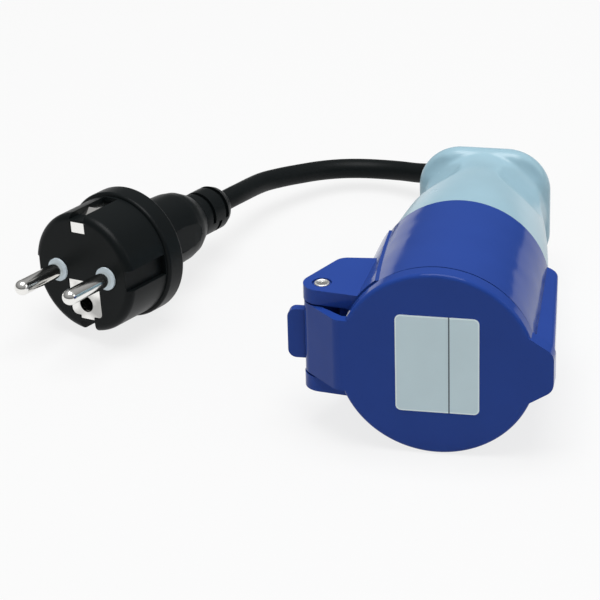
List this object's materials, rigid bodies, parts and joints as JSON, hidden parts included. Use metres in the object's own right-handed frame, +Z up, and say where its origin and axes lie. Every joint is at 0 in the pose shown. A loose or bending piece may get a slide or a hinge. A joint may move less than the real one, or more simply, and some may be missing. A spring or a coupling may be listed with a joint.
{
  "type": "adapter lead",
  "caption": "Short adapter lead from a round household mains plug to a round industrial connector with a spring-closed hinged lid and a scooped grip.",
  "frame": {"origin": "middle of the connector's base on the floor it lies on, cord and plug left out", "axes": "+Z up, +Y from the connector's lid to its grip, +X to the right seen from the lid"},
  "size_m": [0.1669, 0.1597, 0.0571],
  "materials": {
    "blue_plastic": "satin",
    "grey_plastic": "satin",
    "black_rubber": "matte",
    "nickel": "polished",
    "spring_steel": "plain",
    "brass": "turned",
    "pale_plastic": "satin",
    "brown_sheath": "satin",
    "blue_sheath": "satin",
    "green_sheath": "satin"
  },
  "bodies": {
    "connector": {"collar": "blue_plastic", "hinge_pin": "nickel", "lid_spring": "spring_steel", "grip": "grey_plastic", "contact_carrier": "grey_plastic", "line_contact": "brass", "neutral_contact": "brass", "earth_contact": "brass", "terminal_screws": "spring_steel", "line_wire": "brown_sheath", "neutral_wire": "blue_sheath", "earth_wire": "green_sheath", "cord_clamp": "grey_plastic", "cord_sleeve": "black_rubber", "cord": "black_rubber", "plug_body": "black_rubber", "pin_bridge": "pale_plastic", "line_pin": "nickel", "neutral_pin": "nickel", "upper_earth_clip": "nickel", "lower_earth_clip": "nickel", "earth_socket": "nickel"},
    "lid": {"lid": "blue_plastic", "lid_gasket": "black_rubber"}
  },
  "joints": [
    {"name": "lid_hinge", "type": "hinge", "parent": "connector", "child": "lid", "pos_m": [-0.02865, -0.04232, 0.02801], "axis": [0, -0.0544, -0.9985], "range_deg": [0, 105], "stiffness_Nm_per_rad": 0.04, "springref_deg": -34.38}
  ]
}
